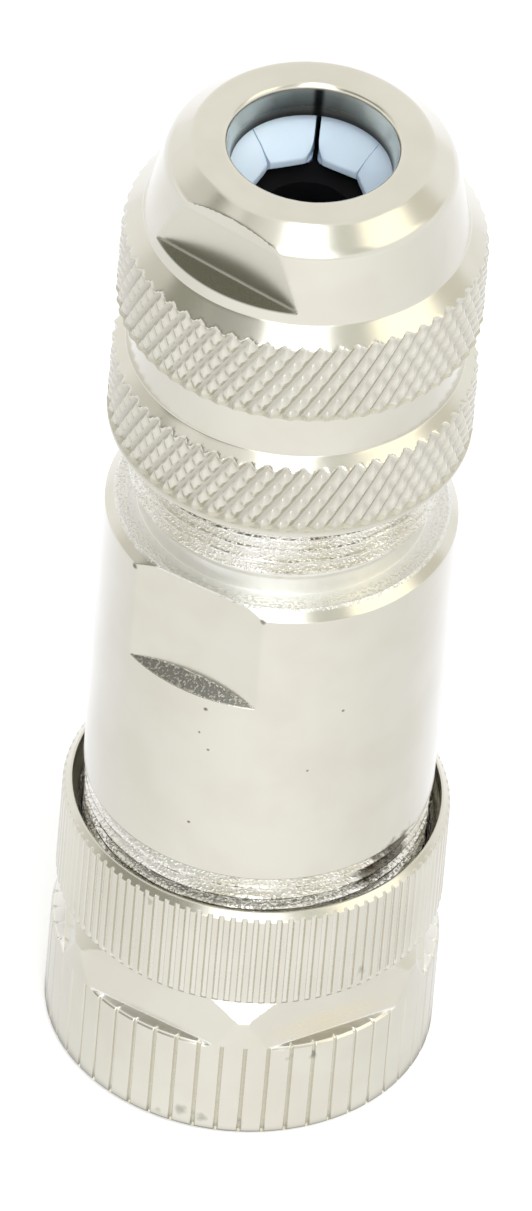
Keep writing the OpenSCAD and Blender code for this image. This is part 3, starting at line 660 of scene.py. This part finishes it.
def gland_mouth_shade(r, z, a):
    """Painted shade down the cable hole's wall: little under its rim, and 1 further down."""
    in_hole = (r < 4.5) & (z > 57.4) & (z < 59.2)
    return np.clip((58.35 - z) / 0.6, 0.15, 1) * in_hole


def gland_slit_shade(r, z, a):
    """Painted reflection of the slit, dark down the hole's far wall: a flat-topped bell in angle.
    """
    in_hole = (r < 4.5) & (z > 57.4) & (z < 59.15)
    return 0.95 * np.exp(-((a - front - 179) / 3.6) ** 4) * in_hole


gland_degrees = np.arange(diamonds * diamond_fine) * 360 / diamonds / diamond_fine
gland = turned(
    "clamp_nut_metal", gland_rz, gland_degrees, gland_cut, "clamp_nut", gland_metal, 53.6, {
        "ledge": gland_ledge_shade, "pit": gland_pit_shade,
        "flat": lambda r, z, a: cut_flat(r, a) & (np.abs(z - 56.7) < 1.54),
        "mouth": gland_mouth_shade, "slit_shade": gland_slit_shade})
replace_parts(gland, "clamp_nut")
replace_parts(thread("clamp_nut_thread", 8.05, 8.33, 41.0, 49.7, 0.75, "clamp_nut",
                   thread_metal, inside=True), "clamp_nut")


# --- Studio ---------------------------------------------------------------------------
# A plain pale floor in a white room. Metal mirrors a white panel in front, a warm one to
# the right, a dark corner to the left, and painted floor light, brighter towards the back.

floor_mesh = bpy.data.meshes.new("floor")
floor_corners = [(-1.5, -1.5, 0), (1.5, -1.5, 0), (1.5, 1.5, 0), (-1.5, 1.5, 0)]
floor_mesh.from_pydata(floor_corners, [], [(0, 1, 2, 3)])
floor = bpy.data.objects.new("floor", floor_mesh)
bpy.context.scene.collection.objects.link(floor)
paper, paper_shader, paper_place = material("pale_paper", Roughness=0.9, Specular_IOR_Level=0.1)
paper_shader.inputs["Emission Strength"].default_value = 1.0
x, y = (paper_place.add("SeparateXYZ", {}, {0: paper_place}, output=k) for k in range(2))
# Glossy rays see painted floor light: brightest at the back, dimmer in front, dimmest to the sides.
ahead = y / (x * x + y * y + 1e-7).math("SQRT") * -1
# 0 in a painted contact shadow round the nut's foot, and 1 beyond it.
outside_painted_shadow = (x * x + y * y).math("SQRT").between(0.0099, 0.0106)
floor_tint = ahead.between(-0.9, 0.4).blend((1, 1.01, 1.07, 1), (1, 1, 1.01, 1))
painted_floor_reflection = ((ahead * ahead * 0.23 - ahead * ahead.math("ABSOLUTE") * 0.08 + 0.715) * (
    outside_painted_shadow * 0.88 + 0.12)).blend((0, 0, 0, 1), floor_tint)
seen = paper_place.add("LightPath", {}, {}, output="Is Camera Ray")
mirrored = paper_place.add("LightPath", {}, {}, output="Is Glossy Ray")
mirrored.blend((0.86, 0.86, 0.85, 1), (0.2, 0.2, 0.2, 1)).into(paper_shader, "Base Color")
mirrored.blend(seen.blend((0, 0, 0, 1), (0.3, 0.3, 0.3, 1)), painted_floor_reflection).into(
    paper_shader, "Emission Color")
floor_mesh.materials.append(paper)

world = bpy.data.worlds.new("studio")
bpy.context.scene.world = world
world.use_nodes = True
sky = Flow(world.node_tree.nodes.new("ShaderNodeTexCoord").outputs["Generated"])
x, y, z = (sky.add("SeparateXYZ", {}, {0: sky}, output=k) for k in range(3))
azimuth = x.math("ARCTAN2", y * -1) * (180 / math.pi)
elevation = z.math("ARCSINE") * (180 / math.pi)


def panel(left, right, low, high, soft=4.0):
    """1 inside these limits in degrees, with azimuth 0 in front and positive to the right."""
    from_left = azimuth.between(left - soft, left + soft)
    across = from_left * (1 - azimuth.between(right - soft, right + soft))
    from_low = across * elevation.between(low - soft, low + soft)
    return from_low * (1 - elevation.between(high - soft, high + soft))


camera_ray = sky.add("LightPath", {}, {}, output="Is Camera Ray")
glossy_ray = sky.add("LightPath", {}, {}, output="Is Glossy Ray")
room = elevation.between(0, 60).blend((1.03, 1.03, 1.03, 1), (0.98, 0.97, 0.94, 1))
for limits, tone in (
        ((-112, -84, 12, 50, 8), (0.75, 0.74, 0.70, 1)),
        ((-62, -24, 38, 50, 3), (0.5, 0.5, 0.47, 1)),
        ((-90, -26, 20, 42, 2.5), (0.34, 0.34, 0.29, 1)),
        ((-22, 22, 10, 80, 3), (2.2, 2.25, 2.3, 1)),
        ((28, 50, 20, 60), (0.75, 0.76, 0.70, 1)),
        ((54, 92, 22, 52), (1.75, 1.66, 1.36, 1)),
        ((96, 116, 10, 40), (0.78, 0.76, 0.68, 1))):
    room = panel(*limits).blend(room, tone)
shade = camera_ray.blend(glossy_ray.blend((0.72, 0.72, 0.72, 1), room), (1, 1, 1, 1))
shade.into(world.node_tree.nodes["Background"], "Color")


def soft_light(name, place, aim, size, power, colour):
    """A square soft light at `place` that faces `aim`, and that metal doesn't mirror."""
    light = bpy.data.lights.new(name, "AREA")
    light.shape, light.size, light.energy, light.color = "SQUARE", size, power, colour
    lamp = bpy.data.objects.new(name, light)
    toward = np.array(aim, float) - np.array(place, float)
    heading = math.atan2(toward[1], toward[0])
    downward = math.atan2(-toward[2], math.hypot(*toward[:2]))
    lamp.rotation_euler = (math.pi / 2 - downward, 0, heading - math.pi / 2)
    lamp.location = place
    lamp.visible_glossy = False
    bpy.context.scene.collection.objects.link(lamp)


soft_light("front_softbox", (0.05, -0.65, 0.75), (0, 0, 0.03), 0.6, 5.0, (1, 1, 1))
soft_light("right_softbox", (0.8, -0.35, 0.55), (0, 0, 0.03), 0.4, 3.0, (1, 0.94, 0.82))

camera_data = bpy.data.cameras.new("camera")
camera_data.lens, camera_data.sensor_fit, camera_data.sensor_height = 876.7, "VERTICAL", 36
# The height alone sets the angle of view. The wide sensor brings a camera that is moved to
# another side close enough for its clip distance.
camera_data.sensor_width = 60
camera_data.clip_end = 10
camera = bpy.data.objects.new("camera", camera_data)
# Unit directions across, down and into the view, which leans a little to the right.
right = (0.996142871, 0.0595330729, 0.0644607927)
down = (0.0877458156, -0.673933648, -0.733562615)
forward = (-0.000228939, 0.736389334, -0.676557977)
matrix = np.eye(4)
matrix[:3, :3] = np.array([right, [-v for v in down], [-v for v in forward]]).T
matrix[:3, 3] = (0, -1.104713, 1.042697)
camera.matrix_world = matrix.T.tolist()
bpy.context.scene.collection.objects.link(camera)
bpy.context.scene.camera = camera
bpy.context.scene.view_settings.view_transform = "Standard"
